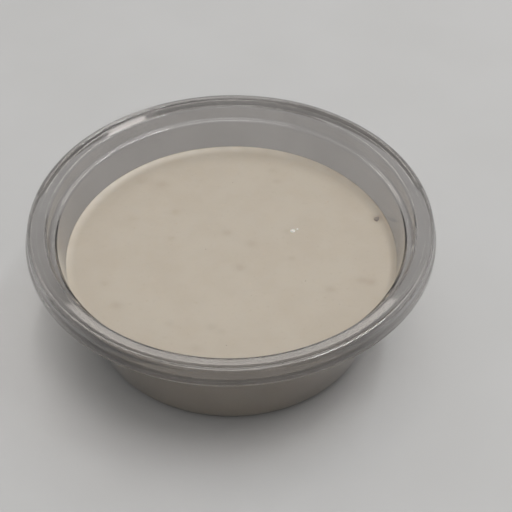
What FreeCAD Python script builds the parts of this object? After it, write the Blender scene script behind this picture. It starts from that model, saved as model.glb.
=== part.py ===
"""Shallow round clear-plastic sauce tub with a wide snap rim, filled with garlic sauce.

Two solids of revolution about +Z, in millimetres:
  tub    the moulded cup: raised floor panel, foot ring, bowed wall, lid ledge, flange, bead and skirt
  sauce  the filling, up to its level, with the edge that creeps up the wall
The origin is the centre of the foot, on the surface that the tub stands on.
"""
import FreeCAD, Part
import math
import os

V = FreeCAD.Vector

# ---- driving dimensions -------------------------------------------------------------------
rim_diameter = 98.0      # over the lower edge of the skirt, the widest place
height = 33.6            # foot to the crest of the rim bead
wall = 0.6               # sheet thickness everywhere

# rim, from the outside inwards
flange_width = 5.25      # widest edge in to the mouth's upper edge
bead_inset = 0.65        # bead's outer side, inside the widest edge
bead_width = 2.1         # bead's outer side in to where it meets the flange
bead_rise = 0.6          # crest above the flange
riser_lean = 0.85        # mouth's upper edge out from the riser's foot
ledge_width = 1.2        # lid ledge between the wall and the riser

# rim, from the crest or the flange down
riser_height = 3.3       # flange down to the lid ledge
crease_drop = 2.2        # crest down to the crease in the skirt
flare_drop = 0.9         # height of the flare below the crease
skirt_height = 4.1       # crest down to the skirt's lower edge
hem_lean = 0.1           # lower edge out from the foot of the flare

# wall and foot
upper_draft = 10.0       # wall's lean from upright above the bow, degrees
lower_draft = 16.0       # wall's lean below the bow, degrees
bow_depth = 8.0          # lid ledge down to the bow
foot_ring_width = 4.4    # flat ring that the tub stands on
panel_rise = 0.8         # floor panel above the foot ring
panel_slope = 1.2        # run over which the floor steps up from ring to panel

# corner radii, taken on the inside or upper face of the sheet
foot_radius = 2.6
panel_radius = 0.7
bow_radius = 60.0
ledge_lip_radius = 0.75
ledge_foot_radius = 0.35
mouth_radius = 0.8
bead_foot_radius = 0.6
bead_crest_radius = 0.9
shoulder_radius = 0.95
crease_radius = 0.7
hem_radius = 0.9
fillet_share = 0.98      # most of a straight side that the fillets at its two ends may use
sharp_reach = 0.001      # a fillet that would start nearer its corner than this is left sharp

# filling
fill_depth = 12.2        # crest down to the flat of the sauce
edge_climb = 0.7         # sauce at the wall above its flat
edge_reach = 2.6         # width of the climbing edge
fit_clearance = 0.05     # between sauce and tub

# ---- derived places on the inside or upper face -------------------------------------------
rim_r = rim_diameter / 2
flange_z = height - bead_rise
mouth_r = rim_r - flange_width
ledge_z = flange_z - riser_height
ledge_outer_r = mouth_r - riser_lean
ledge_inner_r = ledge_outer_r - ledge_width
bow_z = ledge_z - bow_depth
bow_r = ledge_inner_r - bow_depth * math.tan(math.radians(upper_draft))
floor_z = wall
base_r = bow_r - (bow_z - floor_z) * math.tan(math.radians(lower_draft))
panel_z = floor_z + panel_rise
ring_inner_r = base_r - foot_ring_width
panel_r = ring_inner_r - panel_slope
bead_r = rim_r - bead_inset
bead_foot_r = bead_r - bead_width
crease_z = height - crease_drop
flare_z = crease_z - flare_drop


def inside_face():
    """The tub's inner and upper face as corners (radius, height, corner radius), axis to hem."""
    return fitted([
        (0.0, panel_z, 0.0),
        (panel_r, panel_z, panel_radius),
        (ring_inner_r, floor_z, panel_radius),
        (base_r, floor_z, foot_radius),
        (bow_r, bow_z, bow_radius),
        (ledge_inner_r, ledge_z, ledge_lip_radius),
        (ledge_outer_r, ledge_z, ledge_foot_radius),
        (mouth_r, flange_z, mouth_radius),
        (bead_foot_r, flange_z, bead_foot_radius),
        (bead_foot_r + bead_rise, height, bead_crest_radius),
        (bead_r, height, shoulder_radius),
        (bead_r, crease_z, crease_radius),
        (rim_r - hem_lean, flare_z, hem_radius),
        (rim_r, height - skirt_height, 0.0),
    ])


def turn(before, here, after):
    """Signed turn of the path at a corner, positive to the left, in radians."""
    ax, az = here[0] - before[0], here[1] - before[1]
    bx, bz = after[0] - here[0], after[1] - here[1]
    return math.atan2(ax * bz - az * bx, ax * bx + az * bz)


def fillet_reach(corners, i):
    """Run of side that the fillet at corner i uses up, none at the two ends of the path."""
    if i in (0, len(corners) - 1):
        return 0.0
    return corners[i][2] * math.tan(abs(turn(corners[i - 1], corners[i], corners[i + 1])) / 2)


def fitted(corners):
    """The same corners, with the radii limited where a side is too short for its two fillets."""
    limits = [1.0] * len(corners)
    for i in range(len(corners) - 1):
        side = math.dist(corners[i][:2], corners[i + 1][:2])
        used = fillet_reach(corners, i) + fillet_reach(corners, i + 1)
        if used > fillet_share * side:
            limits[i] = min(limits[i], fillet_share * side / used)
            limits[i + 1] = min(limits[i + 1], fillet_share * side / used)
    return [(r, z, radius * limit) for (r, z, radius), limit in zip(corners, limits)]


def offset_face(corners, distance):
    """The same path moved to its right, or left if negative, with concentric corners.

    A corner whose radius is used up by the distance becomes a sharp one.
    """
    moved = []
    for i, (r, z, radius) in enumerate(corners):
        ends = []
        if i > 0:
            ends.append((corners[i - 1], corners[i]))
        if i < len(corners) - 1:
            ends.append((corners[i], corners[i + 1]))
        normals = []
        for start, end in ends:
            length = math.hypot(end[0] - start[0], end[1] - start[1])
            normals.append(((end[1] - start[1]) / length, -(end[0] - start[0]) / length))
        nr = sum(n[0] for n in normals) / len(normals)
        nz = sum(n[1] for n in normals) / len(normals)
        scale = distance / (nr * nr + nz * nz)
        if radius > 0:
            left = turn(corners[i - 1], corners[i], corners[i + 1]) > 0
            radius = max(radius + distance if left else radius - distance, 0.0)
        moved.append((r + nr * scale, z + nz * scale, radius))
    return fitted(moved)


def path_edges(corners):
    """Lines joined by tangent arcs through corners of (radius, height, corner radius)."""
    points = [V(r, 0, z) for r, z, radius in corners]
    edges = []
    last = points[0]
    for i in range(1, len(corners) - 1):
        here = points[i]
        reach = fillet_reach(corners, i)
        if reach < sharp_reach:
            edges.append(Part.LineSegment(last, here).toShape())
            last = here
            continue
        back = (points[i - 1] - here).normalize()
        ahead = (points[i + 1] - here).normalize()
        start = here + back * reach
        end = here + ahead * reach
        radius = corners[i][2]
        middle = here + (back + ahead).normalize() * (math.hypot(radius, reach) - radius)
        edges.append(Part.LineSegment(last, start).toShape())
        edges.append(Part.Arc(start, middle, end).toShape())
        last = end
    edges.append(Part.LineSegment(last, points[-1]).toShape())
    return edges


def close(edges):
    """The edges with one more that joins their two ends."""
    first = edges[0].Vertexes[0].Point
    last = edges[-1].Vertexes[-1].Point
    return edges + [Part.LineSegment(last, first).toShape()]


def revolve(face):
    """Full turn about Z of a face in the XZ plane, as one solid."""
    turned = face.revolve(V(0, 0, 0), V(0, 0, 1), 360)
    solid = Part.Solid(turned.Shells[0])
    if solid.Volume < 0:
        solid.reverse()
    return solid


def make_tub():
    """The cup: the sheet between its inside face and the same face one wall further out."""
    inner = path_edges(inside_face())
    outer = path_edges(offset_face(inside_face(), wall))
    hem = Part.LineSegment(inner[-1].Vertexes[-1].Point, outer[-1].Vertexes[-1].Point).toShape()
    return revolve(Part.Face(Part.Wire(close(inner + [hem] + outer[::-1]))))


def cavity():
    """Half section of the space inside the tub, up to its mouth, clear of the wall."""
    to_mouth = offset_face(inside_face(), -fit_clearance)[:8]
    across = Part.LineSegment(V(to_mouth[-1][0], 0, to_mouth[-1][1]), V(0, 0, to_mouth[-1][1]))
    return Part.Face(Part.Wire(close(path_edges(to_mouth) + [across.toShape()])))


def below_surface(room):
    """Half section of all that lies under the sauce's surface, for the cavity it fills."""
    flat_z = height - fill_depth
    edge_z = flat_z + edge_climb
    across = Part.LineSegment(V(0, 0, edge_z), V(rim_r, 0, edge_z)).toShape()
    edge_r = room.common(across).BoundBox.XMax
    bend = (edge_reach ** 2 + edge_climb ** 2) / (2 * edge_climb)
    lean = math.atan2(edge_climb, edge_reach)
    start = V(edge_r - edge_reach, 0, flat_z)
    middle = start + V(bend * math.sin(lean), 0, bend * (1 - math.cos(lean)))
    end = V(edge_r, 0, edge_z)
    outline = [
        Part.LineSegment(V(0, 0, flat_z), start).toShape(),
        Part.Arc(start, middle, end).toShape(),
        Part.LineSegment(end, V(rim_r, 0, edge_z)).toShape(),
        Part.LineSegment(V(rim_r, 0, edge_z), V(rim_r, 0, 0)).toShape(),
        Part.LineSegment(V(rim_r, 0, 0), V(0, 0, 0)).toShape(),
    ]
    return Part.Face(Part.Wire(close(outline)))


def make_sauce():
    """The filling: the cavity's section below the surface, turned about the axis."""
    room = cavity()
    return revolve(room.common(below_surface(room)).Faces[0])


os.makedirs("parts", exist_ok=True)
for name, make in (("tub", make_tub), ("sauce", make_sauce)):
    solid = make()
    print(f"{name}: volume {solid.Volume:.0f} mm3, valid {solid.isValid()}")
    solid.exportStep(f"parts/{name}.step")
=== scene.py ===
"""Looks of the tub of garlic sauce: clear moulded tub, smooth cream sauce, garlic bits, pepper, bubbles.

Sizes are in millimetres until a mesh is made, and the tub stands on z = 0 with its axis on Z.
"""

import math
import random

import bpy
from mathutils import Matrix, Vector, noise


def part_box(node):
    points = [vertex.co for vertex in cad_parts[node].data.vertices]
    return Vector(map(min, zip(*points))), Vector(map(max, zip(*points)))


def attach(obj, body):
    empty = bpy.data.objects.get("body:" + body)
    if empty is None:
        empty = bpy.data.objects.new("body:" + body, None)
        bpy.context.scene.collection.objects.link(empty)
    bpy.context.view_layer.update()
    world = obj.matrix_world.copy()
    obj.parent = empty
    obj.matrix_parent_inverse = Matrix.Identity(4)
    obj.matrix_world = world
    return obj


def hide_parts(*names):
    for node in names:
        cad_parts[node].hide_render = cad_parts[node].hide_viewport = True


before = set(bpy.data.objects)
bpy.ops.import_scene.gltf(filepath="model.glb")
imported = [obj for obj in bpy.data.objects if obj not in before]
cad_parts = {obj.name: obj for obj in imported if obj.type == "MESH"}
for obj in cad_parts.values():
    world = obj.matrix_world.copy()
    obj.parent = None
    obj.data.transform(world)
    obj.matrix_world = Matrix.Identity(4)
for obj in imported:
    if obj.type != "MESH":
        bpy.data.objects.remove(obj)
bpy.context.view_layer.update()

MM = 0.001

# ---- sizes taken from the frame ------------------------------------------------------------------
tub_low, tub_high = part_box("tub")
sauce_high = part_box("sauce")[1]
RIM_R = min(-tub_low[0], tub_high[0], -tub_low[1], tub_high[1]) / MM
HEIGHT = tub_high[2] / MM
EDGE_Z = sauce_high[2] / MM

# ---- the tub's section, as the frame has it ------------------------------------------------------
WALL = 0.6
FLANGE_WIDTH = 5.25
BEAD_INSET = 0.65
BEAD_WIDTH = 2.1
BEAD_RISE = 0.6
RISER_LEAN = 0.85
LEDGE_WIDTH = 1.2
RISER_HEIGHT = 3.3
CREASE_DROP = 2.2
FLARE_DROP = 0.9
SKIRT_HEIGHT = 4.1
HEM_LEAN = 0.1
HEM_RADIUS = 0.22
UPPER_DRAFT = math.radians(10.0)
LOWER_DRAFT = math.radians(16.0)
BOW_DEPTH = 8.0
FOOT_RING_WIDTH = 4.4
PANEL_RISE = 0.8
PANEL_SLOPE = 1.2
GATE_R = 1.6             # small round mark of the mould's gate under the floor
GATE_RISE = 0.35
GATE_SLOPE = 0.3         # run over which the mark steps down
GATE_RADIUS = 0.15

# fillets of the section's corners, axis to hem
PANEL_RADIUS = 0.7
FOOT_RADIUS = 2.6
BOW_RADIUS = 60.0
LEDGE_LIP_RADIUS = 0.75
LEDGE_FOOT_RADIUS = 0.35
MOUTH_RADIUS = 0.8
BEAD_FOOT_RADIUS = 0.6
BEAD_CREST_RADIUS = 0.9
SHOULDER_RADIUS = 0.95
CREASE_RADIUS = 0.7
FLARE_RADIUS = 0.9

FLANGE_Z = HEIGHT - BEAD_RISE
MOUTH_R = RIM_R - FLANGE_WIDTH
LEDGE_Z = FLANGE_Z - RISER_HEIGHT
LEDGE_OUTER_R = MOUTH_R - RISER_LEAN
LEDGE_INNER_R = LEDGE_OUTER_R - LEDGE_WIDTH
BOW_Z = LEDGE_Z - BOW_DEPTH
BOW_R = LEDGE_INNER_R - BOW_DEPTH * math.tan(UPPER_DRAFT)
BASE_R = BOW_R - (BOW_Z - WALL) * math.tan(LOWER_DRAFT)
PANEL_Z = WALL + PANEL_RISE
RING_INNER_R = BASE_R - FOOT_RING_WIDTH
BEAD_R = RIM_R - BEAD_INSET
BEAD_FOOT_R = BEAD_R - BEAD_WIDTH
CREASE_Z = HEIGHT - CREASE_DROP

# ---- the sauce -----------------------------------------------------------------------------------
EDGE_CLIMB = 0.7         # sauce at the wall above its flat
EDGE_REACH = 2.6         # width of the climbing edge
INTO_WALL = 0.15         # how far the sauce reaches into the sheet, so that no gap shows
SAUCE_Z = EDGE_Z - EDGE_CLIMB
SKIN_STOP = 0.3          # the filling's side ends this far below its edge
EDGE_TUCK = 0.1          # and its upper rim this far
EDGE_UNEVEN = 0.18       # the climb varies by this share
EDGE_WAVE_WIDTH = 9
SWELLS = ((0.10, 17, 3.1), (0.03, 5, 7.7))   # height, width and layer of noise
SWELL_FADE = 6.0         # width by the wall over which the swells die out

# slow waviness of the tub's sheet
WAVE_DEPTH = 0.05
WAVE_WIDTH = 16
WAVE_HEIGHT = 11
WAVE_FADE_Z = 8          # it grows from nothing at the foot to full strength here
STILL_R = 1.0            # nothing moves nearer the axis than this

# ---- how finely things are divided ---------------------------------------------------------------
SEGMENTS = 340
TOP_RINGS = 96
ARC_STEP = math.radians(9)
LEAST_ARC_STEPS = 3
LONGEST_STRAIGHT = 4.0
SUPPORT = 0.05           # distance of the extra point near each end of a straight
SAME_POINT = 1e-5
ON_AXIS = 1e-6


# ---- section paths -------------------------------------------------------------------------------
def inside_face():
    """The tub's inner and upper face as corners (radius, height, corner radius), axis to hem."""
    return [
        (0.0, PANEL_Z, 0.0),
        (RING_INNER_R - PANEL_SLOPE, PANEL_Z, PANEL_RADIUS),
        (RING_INNER_R, WALL, PANEL_RADIUS),
        (BASE_R, WALL, FOOT_RADIUS),
        (BOW_R, BOW_Z, BOW_RADIUS),
        (LEDGE_INNER_R, LEDGE_Z, LEDGE_LIP_RADIUS),
        (LEDGE_OUTER_R, LEDGE_Z, LEDGE_FOOT_RADIUS),
        (MOUTH_R, FLANGE_Z, MOUTH_RADIUS),
        (BEAD_FOOT_R, FLANGE_Z, BEAD_FOOT_RADIUS),
        (BEAD_FOOT_R + BEAD_RISE, HEIGHT, BEAD_CREST_RADIUS),
        (BEAD_R, HEIGHT, SHOULDER_RADIUS),
        (BEAD_R, CREASE_Z, CREASE_RADIUS),
        (RIM_R - HEM_LEAN, CREASE_Z - FLARE_DROP, FLARE_RADIUS),
        (RIM_R, HEIGHT - SKIRT_HEIGHT, HEM_RADIUS),
    ]


def turn(before, here, after):
    """Signed turn of a path at a corner, positive to the left."""
    ax, az = here[0] - before[0], here[1] - before[1]
    bx, bz = after[0] - here[0], after[1] - here[1]
    return math.atan2(ax * bz - az * bx, ax * bx + az * bz)


def offset_face(corners, distance):
    """The path moved to its right, or left if negative, with concentric corners."""
    moved = []
    for i, (r, z, radius) in enumerate(corners):
        normals = []
        for k in (i - 1, i):
            if 0 <= k < len(corners) - 1:
                dr = corners[k + 1][0] - corners[k][0]
                dz = corners[k + 1][1] - corners[k][1]
                length = math.hypot(dr, dz)
                normals.append((dz / length, -dr / length))
        nr = sum(n[0] for n in normals) / len(normals)
        nz = sum(n[1] for n in normals) / len(normals)
        scale = distance / (nr * nr + nz * nz)
        if len(normals) == 2:
            left = turn(corners[i - 1], corners[i], corners[i + 1]) > 0
            radius = max(radius + distance if left else radius - distance, 0.0)
        moved.append((r + nr * scale, z + nz * scale, radius))
    return moved


def sampled(corners):
    """Points along a path: its arcs in short steps, and a point close to each end of a straight."""
    straights = []
    arcs = [[]]
    last = Vector(corners[0][:2])
    for i in range(1, len(corners) - 1):
        here = Vector(corners[i][:2])
        back = (Vector(corners[i - 1][:2]) - here).normalized()
        ahead = (Vector(corners[i + 1][:2]) - here).normalized()
        bend = turn(corners[i - 1], corners[i], corners[i + 1])
        reach = corners[i][2] * math.tan(abs(bend) / 2)
        start = here + back * reach
        straights.append((last, start))
        steps = max(LEAST_ARC_STEPS, math.ceil(abs(bend) / ARC_STEP))
        centre = here + (back + ahead).normalized() * (corners[i][2] / math.cos(bend / 2))
        spoke = start - centre
        arc = []
        for k in range(1, steps):
            a = bend * k / steps
            arc.append(centre + Vector((spoke.x * math.cos(a) - spoke.y * math.sin(a),
                                        spoke.x * math.sin(a) + spoke.y * math.cos(a))))
        arcs.append(arc if corners[i][2] > 0 else [])
        last = here + ahead * reach
    straights.append((last, Vector(corners[-1][:2])))
    points = []
    for (start, end), arc in zip(straights, arcs):
        points.extend(arc)
        length = (end - start).length
        points.append(start)
        if length > 3 * SUPPORT:
            way = (end - start) / length
            points.append(start + way * SUPPORT)
            pieces = max(1, round(length / LONGEST_STRAIGHT))
            for k in range(1, pieces):
                points.append(start + (end - start) * k / pieces)
            points.append(end - way * SUPPORT)
        points.append(end)
    tidy = [points[0]]
    for p in points[1:]:
        if (p - tidy[-1]).length > SAME_POINT:
            tidy.append(p)
    return tidy


# ---- meshes --------------------------------------------------------------------------------------
def add_object(name, vertices, faces, material, node=None):
    """A smooth-shaded piece in metres that rides on the tub's body."""
    mesh = bpy.data.meshes.new(name)
    mesh.from_pydata([(x * MM, y * MM, z * MM) for x, y, z in vertices], [], faces)
    mesh.validate()
    mesh.shade_smooth()
    mesh.materials.append(material)
    piece = bpy.data.objects.new(name, mesh)
    bpy.context.collection.objects.link(piece)
    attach(piece, "root")
    if node:
        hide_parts(node)
    return piece


def ring_count(r):
    """Number of vertices in a ring: one on the axis, else one for each segment."""
    return 1 if r < ON_AXIS else SEGMENTS


def lathe(points, shift=None):
    """Vertices and faces of a section turned about Z; shift(x, y, z) may move each vertex."""
    vertices = []
    rings = []
    for r, z in points:
        count = ring_count(r)
        rings.append((len(vertices), count))
        for k in range(count):
            a = 2 * math.pi * k / SEGMENTS
            vertex = (r * math.cos(a), r * math.sin(a), z)
            vertices.append(shift(*vertex) if shift else vertex)
    faces = []
    for (low, low_count), (high, high_count) in zip(rings, rings[1:]):
        for k in range(SEGMENTS):
            j = (k + 1) % SEGMENTS
            if low_count == 1:
                faces.append((low, high + j, high + k))
            elif high_count == 1:
                faces.append((low + k, low + j, high))
            else:
                faces.append((low + k, low + j, high + j, high + k))
    return vertices, faces


# ---- materials -----------------------------------------------------------------------------------
class Nodes:
    """Short calls for building one material's node tree."""

    def __init__(self, name):
        self.material = bpy.data.materials.new(name)
        self.material.use_nodes = True
        self.tree = self.material.node_tree
        self.shader = self.tree.nodes["Principled BSDF"]
        self.output = self.tree.nodes["Material Output"]
        coordinates = self.tree.nodes.new("ShaderNodeTexCoord")
        self.millimetres = self.tree.nodes.new("ShaderNodeVectorMath")
        self.millimetres.operation = "SCALE"
        self.millimetres.inputs["Scale"].default_value = 1 / MM
        self.join(coordinates.outputs["Object"], self.millimetres.inputs[0])

    def join(self, output, target):
        """A link from an output to an input."""
        self.tree.links.new(output, target)

    def feed(self, name, output):
        """A link from an output to an input of the Principled shader."""
        self.join(output, self.shader.inputs[name])

    def noise(self, size, detail=3.0, roughness=0.5):
        """Noise whose features are about size millimetres across."""
        node = self.tree.nodes.new("ShaderNodeTexNoise")
        node.inputs["Scale"].default_value = 1 / size
        node.inputs["Detail"].default_value = detail
        node.inputs["Roughness"].default_value = roughness
        self.join(self.millimetres.outputs[0], node.inputs["Vector"])
        return node.outputs["Fac"]

    def spread(self, value, low, high, out_low=0.0, out_high=1.0):
        """The value moved from one range to another, smoothly and held at the ends."""
        node = self.tree.nodes.new("ShaderNodeMapRange")
        node.interpolation_type = "SMOOTHSTEP"
        ends = {"From Min": low, "From Max": high, "To Min": out_low, "To Max": out_high}
        for name, number in ends.items():
            node.inputs[name].default_value = number
        self.join(value, node.inputs["Value"])
        return node.outputs["Result"]

    def mix(self, share, first, second):
        """Colour between two colours or colour outputs by a share."""
        node = self.tree.nodes.new("ShaderNodeMix")
        node.data_type = "RGBA"
        self.join(share, node.inputs["Factor"])
        for name, colour in (("A", first), ("B", second)):
            socket = [s for s in node.inputs if s.name == name and s.type == "RGBA"][0]
            if isinstance(colour, tuple):
                socket.default_value = (*colour, 1.0)
            else:
                self.join(colour, socket)
        return [s for s in node.outputs if s.type == "RGBA"][0]

    def bump(self, height, distance, strength=1.0):
        """Bump from a height output; distance in millimetres."""
        node = self.tree.nodes.new("ShaderNodeBump")
        node.inputs["Strength"].default_value = strength
        node.inputs["Distance"].default_value = distance * MM
        self.join(height, node.inputs["Height"])
        self.join(node.outputs["Normal"], self.shader.inputs["Normal"])

    def attribute(self, name):
        """The number that the mesh holds at each point under a name."""
        node = self.tree.nodes.new("ShaderNodeAttribute")
        node.attribute_name = name
        return node.outputs["Fac"]

    def set(self, **values):
        """Constants on the Principled shader, by socket name with spaces as underscores."""
        for name, value in values.items():
            self.shader.inputs[name.replace("_", " ")].default_value = value


# tint of the sheet: partly its own, partly painted shade that darkens the sauce and floor seen through it
PLASTIC_TINT_AND_PAINTED_SHADE = (0.515, 0.500, 0.490)
CLOUD_SHADE = 0.93       # tint of the cloudier places, as a share of the tint
SHADOW_TINT = (0.64, 0.63, 0.62)


def plastic_material():
    """Clear thin plastic, its tint partly its own and partly painted shade that darkens the view through it,
    with faint clouds and a glossy coat.
    """
    n = Nodes("clear_plastic")
    clouds = n.noise(14.0, detail=2.0)
    cloudy = tuple(c * CLOUD_SHADE for c in PLASTIC_TINT_AND_PAINTED_SHADE)
    n.feed("Base Color", n.mix(n.spread(clouds, 0.3, 0.7), PLASTIC_TINT_AND_PAINTED_SHADE, cloudy))
    n.feed("Roughness", n.spread(n.noise(16.0, detail=1.0), 0.3, 0.7, 0.07, 0.10))
    # a low IOR, so that the thin sheet hardly bends the view, and a coat for its highlights
    n.set(Transmission_Weight=0.95, IOR=1.10, Coat_Weight=1.0, Coat_Roughness=0.03)
    n.bump(n.noise(7.0, detail=1.0), 0.008)
    # lamps shine through the thin sheet on their way to the sauce and the floor
    path = n.tree.nodes.new("ShaderNodeLightPath")
    clear = n.tree.nodes.new("ShaderNodeBsdfTransparent")
    clear.inputs["Color"].default_value = (*SHADOW_TINT, 1.0)
    either = n.tree.nodes.new("ShaderNodeMixShader")
    n.join(path.outputs["Is Shadow Ray"], either.inputs["Fac"])
    n.join(n.shader.outputs["BSDF"], either.inputs[1])
    n.join(clear.outputs["BSDF"], either.inputs[2])
    n.join(either.outputs["Shader"], n.output.inputs["Surface"])
    return n.material


SAUCE_COLOUR = (0.445, 0.398, 0.333)
SAUCE_DEEP = (0.430, 0.379, 0.313)
# paler colour painted at the climbing edge: a painted sheen
SAUCE_PAINTED_SHEEN = (0.66, 0.61, 0.53)
SMUDGE_COLOUR = (0.34, 0.28, 0.22)
GARLIC_LIGHT = (0.47, 0.405, 0.33)
GARLIC_DARK = (0.42, 0.35, 0.275)
PEPPER_DARK = (0.19, 0.165, 0.15)
PEPPER_LIGHT = (0.26, 0.23, 0.20)
# bubble colours painted far paler than the sauce: a painted highlight
BUBBLE_PAINTED_HIGHLIGHT = (0.80, 0.78, 0.74)
BUBBLE_PAINTED_HIGHLIGHT_DIM = (0.68, 0.64, 0.58)
FLOOR_LIGHT = (0.50, 0.50, 0.50)
FLOOR_DARK = (0.485, 0.485, 0.483)
ROUGHNESS_SPAN = 0.06    # roughness of a bit varies by this to either side


def sauce_material():
    """Smooth cream sauce: faint mottling, blurred bits below the surface, soft wet sheen, and a painted
    sheen along the climbing edge.
    """
    n = Nodes("garlic_sauce")
    mottle = n.spread(n.noise(9.0, detail=4.0, roughness=0.6), 0.35, 0.68)
    cream = n.mix(mottle, SAUCE_COLOUR, SAUCE_DEEP)
    grain = n.spread(n.noise(0.9, detail=3.0), 0.60, 0.78, 0.0, 0.22)
    # the painted sheen lightens the climbing edge before the grain goes on
    grained = n.mix(grain, n.mix(n.attribute("painted_sheen"), cream, SAUCE_PAINTED_SHEEN), SMUDGE_COLOUR)
    smudged = n.mix(n.attribute("smudge"), grained, SMUDGE_COLOUR)
    n.feed("Base Color", smudged)
    n.feed("Roughness", n.spread(n.noise(3.0, detail=3.0), 0.3, 0.7, 0.36, 0.46))
    n.set(IOR=1.4, Subsurface_Weight=0.25, Subsurface_Scale=0.0012, Specular_IOR_Level=0.4)
    n.shader.inputs["Subsurface Radius"].default_value = (1.0, 0.75, 0.5)
    n.bump(n.noise(1.3, detail=3.0), 0.03, strength=0.6)
    return n.material


def bit_material(name, first, second, roughness):
    """Small solid bits in the sauce, each a little different in tone."""
    n = Nodes(name)
    n.feed("Base Color", n.mix(n.spread(n.noise(1.1, detail=3.0), 0.35, 0.65), first, second))
    n.feed("Roughness", n.spread(n.noise(0.4), 0.3, 0.7, roughness - ROUGHNESS_SPAN,
                                 roughness + ROUGHNESS_SPAN))
    n.set(IOR=1.4, Subsurface_Weight=0.15, Subsurface_Scale=0.0005)
    n.bump(n.noise(0.25, detail=2.0), 0.02)
    return n.material


def bubble_material():
    """Thin glossy skin of sauce over air, its colour painted far paler than the sauce as a painted
    highlight.
    """
    n = Nodes("bubble_painted_highlight")
    n.feed("Base Color", n.mix(n.spread(n.noise(0.8, detail=2.0), 0.35, 0.65), BUBBLE_PAINTED_HIGHLIGHT, BUBBLE_PAINTED_HIGHLIGHT_DIM))
    n.feed("Roughness", n.spread(n.noise(0.5), 0.3, 0.7, 0.10, 0.18))
    n.set(IOR=1.45, Subsurface_Weight=0.2, Subsurface_Scale=0.0005)
    n.bump(n.noise(0.4, detail=1.0), 0.01)
    return n.material


def floor_material():
    """Matt pale paper, a little uneven in tone."""
    n = Nodes("floor_paper")
    n.feed("Base Color", n.mix(n.spread(n.noise(40.0), 0.3, 0.7), FLOOR_LIGHT, FLOOR_DARK))
    n.set(Roughness=0.85, Specular_IOR_Level=0.1)
    return n.material


# ---- pieces --------------------------------------------------------------------------------------
def make_tub(material):
    """The moulded cup as one closed thin sheet, with faint waviness, a rounded hem and a gate mark."""
    inner = inside_face()
    outer = offset_face(inner, WALL)
    outer[-1] = (*outer[-1][:2], HEM_RADIUS)
    panel_z = outer[0][1]
    gate = [(GATE_R + GATE_SLOPE, panel_z, GATE_RADIUS), (GATE_R, panel_z - GATE_RISE, GATE_RADIUS),
            (0.0, panel_z - GATE_RISE, 0.0)]
    points = sampled(inner + outer[:0:-1] + gate)

    def waviness(x, y, z):
        r = math.hypot(x, y)
        if r < STILL_R:
            return x, y, z
        wave = noise.noise(Vector((x / WAVE_WIDTH, y / WAVE_WIDTH, z / WAVE_HEIGHT)))
        swell = WAVE_DEPTH * wave - WAVE_DEPTH   # inwards only, never outside the frame's tub
        share = min(1.0, z / WAVE_FADE_Z)
        return x * (1 + swell * share / r), y * (1 + swell * share / r), z

    vertices, faces = lathe([(p.x, p.y) for p in reversed(points)], waviness)
    add_object("tub_sheet", vertices, faces, material, node="tub")


def ripple(x, y, size, layer):
    """Smooth noise over the surface, about size millimetres across; each layer has its own pattern."""
    return noise.noise(Vector((x / size, y / size, layer)))


def surface_height(x, y):
    """Height of the sauce's surface: level, with slow low swells that die out at the wall."""
    r = math.hypot(x, y)
    share = max(0.0, min(1.0, (edge_r - r) / SWELL_FADE))
    swell = sum(height * ripple(x, y, width, layer) for height, width, layer in SWELLS)
    z = SAUCE_Z + swell * share
    into = r - (edge_r - EDGE_REACH)
    if into > 0:
        climb = EDGE_CLIMB * (1 + EDGE_UNEVEN * ripple(x, y, EDGE_WAVE_WIDTH, 0.4))
        z += climb * (min(into, EDGE_REACH) / EDGE_REACH) ** 2
    return min(z, EDGE_Z)


def make_sauce(material):
    """The filling: pressed a hair into the sheet all round, with a finely divided top."""
    skin = [p for p in sampled(offset_face(inside_face(), INTO_WALL)) if p.y < EDGE_Z - SKIN_STOP]
    section = [(p.x, p.y) for p in skin] + [(edge_r + INTO_WALL, EDGE_Z - EDGE_TUCK)]
    top_start = len(section)
    for k in range(TOP_RINGS + 1):
        section.append((edge_r * (1 - k / TOP_RINGS) if k < TOP_RINGS else 0.0, SAUCE_Z))
    count_below = sum(ring_count(r) for r, z in section[:top_start])
    vertices, faces = lathe(section)
    for i in range(count_below, len(vertices)):
        x, y, z = vertices[i]
        vertices[i] = (x, y, surface_height(x, y))
    piece = add_object("sauce_fill", vertices, faces, material, node="sauce")
    # per point: the blurred bits, and the painted sheen at the climbing edge
    for name, strength in (("smudge", smudge_at), ("painted_sheen", painted_sheen_at)):
        shade = piece.data.attributes.new(name, "FLOAT", "POINT")
        for i, (x, y, z) in enumerate(vertices):
            shade.data[i].value = strength(x, y) if i >= count_below else 0.0


# the one dark fleck and the bubble that catch the eye; azimuths run from +X towards +Y
FLECK_AZIMUTH = math.radians(17.0)
FLECK_INSET = 1.6        # in from the sauce's edge
FLECK_SIZE = 1.1
BUBBLE_AZIMUTH = math.radians(26.0)
BUBBLE_R = 17.0
BUBBLE_STEP = 1.4        # from the bubble out to the smaller one beside it

# blurred bits just under the surface, spread at random
SMUDGE_SEED = 23
SMUDGE_COUNT = 22
SMUDGE_MARGIN = 4.0      # kept clear inside the sauce's edge
SMUDGE_SIZES = (0.9, 1.6)
SMUDGE_STRENGTHS = (0.24, 0.42)
SMUDGE_REACH = 4         # how far a bit is felt, in its own sizes
SMUDGE_LIMIT = 0.8
SMUDGE_RAGGED = 0.5      # unevenness of a bit's outline
SMUDGE_GRAIN = 0.9       # how fine that unevenness is
SMUDGE_SQUASH = 1.3      # bits are narrower from front to back
FLECK_SMUDGE_SIZE = 1.5
FLECK_SMUDGE_STRENGTH = 0.80
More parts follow.
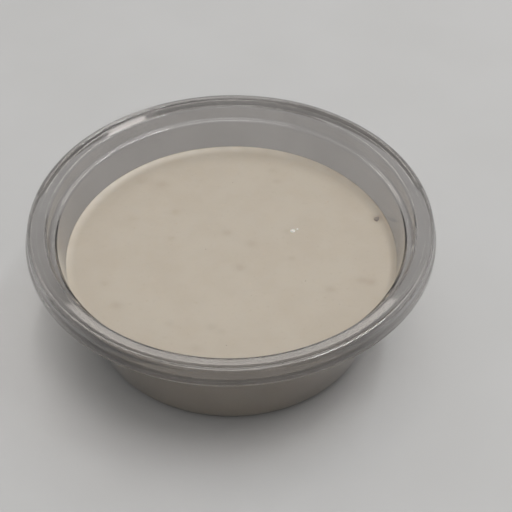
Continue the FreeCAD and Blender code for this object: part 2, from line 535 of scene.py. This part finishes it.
# painted sheen along the climbing edge, strongest at the back left
PAINTED_SHEEN_WIDTH = 1.9
PAINTED_SHEEN_AZIMUTH = math.radians(130)
PAINTED_SHEEN_LEAST = 0.15        # share of it that is left on the far side
PAINTED_SHEEN_MEAN = 0.8
PAINTED_SHEEN_PATCHES = 0.4
PAINTED_SHEEN_PATCH_WIDTH = 3


def polar(radius, azimuth):
    """The point (x, y) at a radius and an azimuth."""
    return radius * math.cos(azimuth), radius * math.sin(azimuth)


def fleck_place():
    """The point (x, y) where the dark fleck lies."""
    return polar(edge_r - FLECK_INSET, FLECK_AZIMUTH)


def blurred_bits():
    """Bits under the surface as (x, y, size, strength): a dark one round the fleck, then the random ones."""
    rng = random.Random(SMUDGE_SEED)
    bits = [(*fleck_place(), FLECK_SMUDGE_SIZE, FLECK_SMUDGE_STRENGTH)]
    for _ in range(SMUDGE_COUNT):
        radius = (edge_r - SMUDGE_MARGIN) * math.sqrt(rng.random())
        place = polar(radius, rng.uniform(0, 2 * math.pi))
        bits.append((*place, rng.uniform(*SMUDGE_SIZES), rng.uniform(*SMUDGE_STRENGTHS)))
    return bits


def smudge_at(x, y):
    """Strength of the blurred bits at a point of the surface."""
    total = 0.0
    for cx, cy, size, strength in smudges:
        dx, dy = x - cx, y - cy
        if abs(dx) > SMUDGE_REACH * size or abs(dy) > SMUDGE_REACH * size:
            continue
        ragged = 1 + SMUDGE_RAGGED * noise.noise(Vector((x * SMUDGE_GRAIN, y * SMUDGE_GRAIN, cx)))
        total += strength * math.exp(-(dx * dx + dy * dy * SMUDGE_SQUASH) / (size * size * ragged))
    return min(total, SMUDGE_LIMIT)


def painted_sheen_at(x, y):
    """Share of the painted sheen: paler colour painted along the sauce's climbing edge, most of it at the
    back left where the light falls.
    """
    r = math.hypot(x, y)
    climb = max(0.0, (r - edge_r + PAINTED_SHEEN_WIDTH) / PAINTED_SHEEN_WIDTH)
    side = 0.5 + 0.5 * math.cos(math.atan2(y, x) - PAINTED_SHEEN_AZIMUTH)
    around = PAINTED_SHEEN_LEAST + (1 - PAINTED_SHEEN_LEAST) * side ** 3
    return min(1.0, climb) * around * (PAINTED_SHEEN_MEAN + PAINTED_SHEEN_PATCHES * ripple(x, y, PAINTED_SHEEN_PATCH_WIDTH, 9))


LUMP_STRETCH = (0.65, 1.0)   # least and greatest width of a bit for its length
LUMP_SWELL = 0.35        # unevenness of a bit's form
LUMP_GRAIN = 1.4         # how fine that unevenness is
BIT_MARGIN = 2.0         # kept clear of bits inside the sauce's edge


def lump(rng, x, y, size, flat, sink):
    """One irregular rounded bit that lies mostly under the surface."""
    sides, rows = 10, 6
    stretch = rng.uniform(*LUMP_STRETCH)
    angle = rng.uniform(0, math.pi)
    seed = rng.uniform(0, 100)
    base = surface_height(x, y) - sink
    vertices = []
    for j in range(1, rows):
        tilt = math.pi * j / rows
        for k in range(sides):
            a = 2 * math.pi * k / sides
            direction = Vector((math.sin(tilt) * math.cos(a), math.sin(tilt) * math.sin(a), math.cos(tilt)))
            swell = 1 + LUMP_SWELL * noise.noise(direction * LUMP_GRAIN + Vector((seed, 0, 0)))
            u = direction.x * size * swell
            v = direction.y * size * swell * stretch
            vertices.append((x + u * math.cos(angle) - v * math.sin(angle),
                             y + u * math.sin(angle) + v * math.cos(angle),
                             base + direction.z * flat * swell))
    top = len(vertices)
    vertices.append((x, y, base + flat))
    vertices.append((x, y, base - flat))
    faces = [(top, k, (k + 1) % sides) for k in range(sides)]
    for j in range(rows - 2):
        for k in range(sides):
            low, high = j * sides, (j + 1) * sides
            n = (k + 1) % sides
            faces.append((low + k, high + k, high + n, low + n))
    last = (rows - 2) * sides
    faces += [(top + 1, last + (k + 1) % sides, last + k) for k in range(sides)]
    return vertices, faces


def scatter(name, material, seed, places, random_count, sizes, flatness, show):
    """One piece of many bits: the given places (x, y, size) first, then random ones over the surface.

    flatness and show are shares of a bit's size: its half height, and how much stands out of the sauce.
    """
    rng = random.Random(seed)
    wanted = list(places)
    while len(wanted) < len(places) + random_count:
        r = (edge_r - BIT_MARGIN) * math.sqrt(rng.random())
        a = rng.uniform(0, 2 * math.pi)
        wanted.append((*polar(r, a), rng.uniform(*sizes)))
    vertices, faces = [], []
    for x, y, size in wanted:
        flat = size * flatness
        more, quads = lump(rng, x, y, size, flat, flat - show * size)
        faces += [tuple(i + len(vertices) for i in face) for face in quads]
        vertices += more
    add_object(name, vertices, faces, material)


# a bubble's form, in shares of its radius
BUBBLE_RING = [(1.45, -0.04), (1.15, 0.05)]   # foot and top of the raised ring round it
BUBBLE_LIFT = 0.06
BUBBLE_RISE = 0.6
BUBBLE_RADIUS = 0.48
SMALL_BUBBLE_RADIUS = 0.20


def make_bubbles(material):
    """Low domes of sauce skin, each with a small raised ring where it meets the surface."""
    sides, rows = 20, 6
    vertices, faces = [], []
    quarters = [0.5 * math.pi * k / rows for k in range(rows)]
    profile = BUBBLE_RING + [(math.cos(a), BUBBLE_LIFT + BUBBLE_RISE * math.sin(a)) for a in quarters]
    for distance, radius in ((BUBBLE_R, BUBBLE_RADIUS), (BUBBLE_R + BUBBLE_STEP, SMALL_BUBBLE_RADIUS)):
        x, y = polar(distance, BUBBLE_AZIMUTH)
        start = len(vertices)
        base = surface_height(x, y)
        for out, up in profile:
            for k in range(sides):
                a = 2 * math.pi * k / sides
                vertices.append((x + radius * out * math.cos(a), y + radius * out * math.sin(a),
                                 base + radius * up))
        vertices.append((x, y, base + (BUBBLE_LIFT + BUBBLE_RISE) * radius))
        for j in range(len(profile) - 1):
            for k in range(sides):
                n = (k + 1) % sides
                low, high = start + j * sides, start + (j + 1) * sides
                faces.append((low + k, low + n, high + n, high + k))
        last = start + (len(profile) - 1) * sides
        faces += [(last + k, last + (k + 1) % sides, len(vertices) - 1) for k in range(sides)]
        faces.append(tuple(start + k for k in reversed(range(sides))))
    add_object("air_bubbles", vertices, faces, material)


def contact_radius():
    """Radius of the tub's inside face at the sauce's edge."""
    path = sampled(inside_face())
    for low, high in zip(path, path[1:]):
        if low.y <= EDGE_Z <= high.y:
            return low.x + (high.x - low.x) * (EDGE_Z - low.y) / (high.y - low.y)
    raise ValueError("the sauce's edge is outside the tub")


# ---- stage ---------------------------------------------------------------------------------------
FLOOR_HALF = 1.5         # metres
WORLD_COLOUR = (0.98, 0.99, 1.0)
WORLD_STRENGTH = 0.28


def make_floor():
    """A plain pale floor at the tub's foot."""
    half = FLOOR_HALF
    mesh = bpy.data.meshes.new("floor")
    corners = [(-half, -half, 0), (half, -half, 0), (half, half, 0), (-half, half, 0)]
    mesh.from_pydata(corners, [], [(0, 1, 2, 3)])
    mesh.materials.append(floor_material())
    floor = bpy.data.objects.new("floor", mesh)
    bpy.context.collection.objects.link(floor)


def lamp(name, toward, distance, width, length, power, colour=(1.0, 1.0, 1.0), spin=0.0):
    """A rectangular lamp, out from the tub in a direction, facing the rim's centre; metres and watts."""
    light = bpy.data.lights.new(name, "AREA")
    light.shape = "RECTANGLE"
    light.size = width
    light.size_y = length
    light.energy = power
    light.color = colour
    target = Vector((0, 0, HEIGHT * MM))
    place = target + Vector(toward).normalized() * distance
    thing = bpy.data.objects.new(name, light)
    facing = (target - place).to_track_quat("-Z", "Y").to_matrix().to_4x4()
    thing.matrix_world = Matrix.Translation(place) @ facing @ Matrix.Rotation(math.radians(spin), 4, "Z")
    bpy.context.collection.objects.link(thing)


def make_lights():
    """Soft studio light, with narrow lamps where the rim mirrors them towards the camera."""
    world = bpy.data.worlds.new("studio")
    bpy.context.scene.world = world
    world.use_nodes = True
    background = world.node_tree.nodes["Background"]
    background.inputs["Color"].default_value = (*WORLD_COLOUR, 1.0)
    background.inputs["Strength"].default_value = WORLD_STRENGTH
    lamp("overhead", toward=(0.05, -0.06, 1.0), distance=1.5, width=1.0, length=0.9,
         power=8.6, colour=(1.0, 0.985, 0.965))
    lamp("back_soft", toward=(0.0, 0.600, 0.800), distance=1.3, width=1.1, length=0.26,
         power=3.0, colour=(1.0, 0.95, 0.88))
    lamp("front_fill", toward=(0.0, -0.80, 0.60), distance=1.4, width=1.2, length=0.5,
         power=1.1, colour=(1.0, 0.96, 0.91))
    lamp("front_low", toward=(0.0, -0.987, 0.160), distance=1.4, width=2.4, length=0.06,
         power=1.3, colour=(1.0, 0.95, 0.90))
    lamp("window", toward=(-0.103, 0.786, 0.606), distance=1.3, width=0.050, length=0.5,
         power=0.38, colour=(1.0, 0.95, 0.91))
    lamp("side_strip", toward=(0.374, 0.129, 0.918), distance=1.16, width=0.72, length=0.06,
         power=4.5, spin=-24.0)


# the camera that was fitted to the photo
CAMERA_ELEVATION = math.radians(47.07)
CAMERA_DISTANCE = 6.25   # in rim radii
CAMERA_ROLL = math.radians(1.03)
CAMERA_PAN = math.radians(1.12)
CAMERA_TILT = math.radians(2.71)
CAMERA_LENS = 83.5       # millimetres, as the sensor's width is
SENSOR_WIDTH = 36.0
NEAR_CLIP = 0.01         # metres


def make_camera():
    """Camera in front of the tub, first aimed at its foot, then rolled, tilted up and panned right."""
    ahead = Vector((0, math.cos(CAMERA_ELEVATION), -math.sin(CAMERA_ELEVATION)))
    place = -ahead * CAMERA_DISTANCE * (tub_high[0] - tub_low[0]) / 2
    right = Vector((1, 0, 0))
    up = right.cross(ahead)
    up, right = (up * math.cos(CAMERA_ROLL) + right * math.sin(CAMERA_ROLL),
                 right * math.cos(CAMERA_ROLL) - up * math.sin(CAMERA_ROLL))
    ahead, up = (ahead * math.cos(CAMERA_TILT) + up * math.sin(CAMERA_TILT),
                 up * math.cos(CAMERA_TILT) - ahead * math.sin(CAMERA_TILT))
    ahead, right = (ahead * math.cos(CAMERA_PAN) + right * math.sin(CAMERA_PAN),
                    right * math.cos(CAMERA_PAN) - ahead * math.sin(CAMERA_PAN))
    data = bpy.data.cameras.new("camera")
    data.lens = CAMERA_LENS
    data.sensor_width = SENSOR_WIDTH
    data.clip_start = NEAR_CLIP
    camera = bpy.data.objects.new("camera", data)
    turned = Matrix((right, up, -ahead)).transposed().to_4x4()
    camera.matrix_world = Matrix.Translation(place) @ turned
    bpy.context.collection.objects.link(camera)
    bpy.context.scene.camera = camera


# ---- build ---------------------------------------------------------------------------------------
bpy.context.scene.view_settings.view_transform = "Standard"
edge_r = contact_radius()
smudges = blurred_bits()
make_camera()
make_floor()
make_lights()
make_tub(plastic_material())
make_sauce(sauce_material())
scatter("garlic_bits", bit_material("garlic_bit", GARLIC_LIGHT, GARLIC_DARK, 0.4), seed=11,
        places=[], random_count=30, sizes=(0.2, 0.5), flatness=0.5, show=0.08)
scatter("pepper_flecks", bit_material("pepper_fleck", PEPPER_DARK, PEPPER_LIGHT, 0.6), seed=5,
        places=[(*fleck_place(), FLECK_SIZE)], random_count=9, sizes=(0.12, 0.22), flatness=0.35, show=0.10)
make_bubbles(bubble_material())
